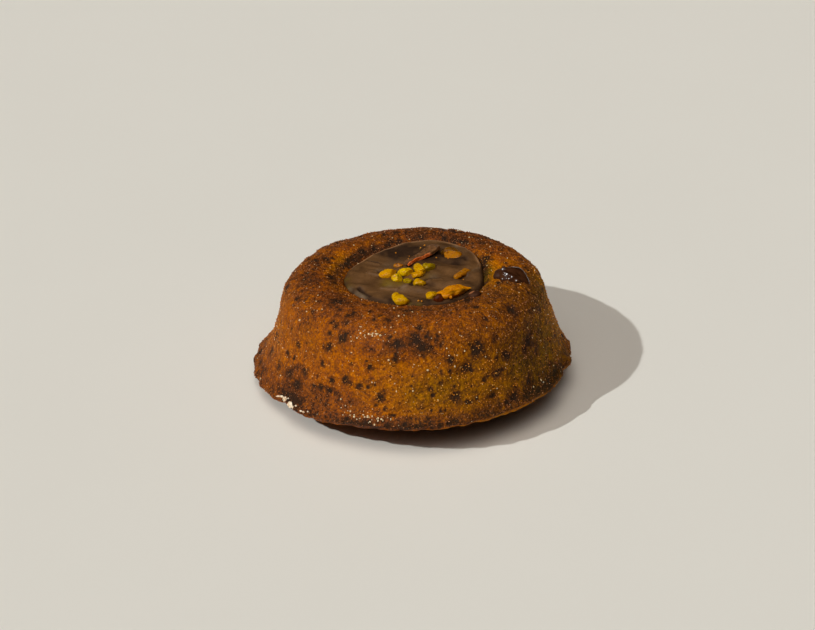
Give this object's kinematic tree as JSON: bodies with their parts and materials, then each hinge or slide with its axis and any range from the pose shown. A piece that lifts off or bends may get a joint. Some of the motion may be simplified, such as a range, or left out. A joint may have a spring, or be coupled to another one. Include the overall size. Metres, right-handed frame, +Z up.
{
  "type": "marble cake",
  "caption": "Small round moulded marble tea cake with a flared crusty lip, a well of chocolate ganache on top, candied peel and a glossy chocolate drop.",
  "frame": {"origin": "middle of the flat spot on the domed underside that the cake rests on", "axes": "+Z up, -Y towards the side shown in the picture, +X to the right of it; the cake itself leans about 6 degrees back and left"},
  "size_m": [0.08, 0.0763, 0.0322],
  "materials": {
    "crust": "browned, buttery cake crust with dark chocolate flecks",
    "ganache": "satin milk chocolate ganache",
    "peel": "satin red-orange candied peel, partly coated with ganache",
    "zest": "moist yellow-orange candied zest",
    "chocolate": "glossy dark chocolate"
  },
  "bodies": {
    "root": {"cake": "crust", "ganache": "ganache", "peel_strip": "peel", "candied_zest": "zest", "chocolate_drop": "chocolate"}
  },
  "joints": []
}
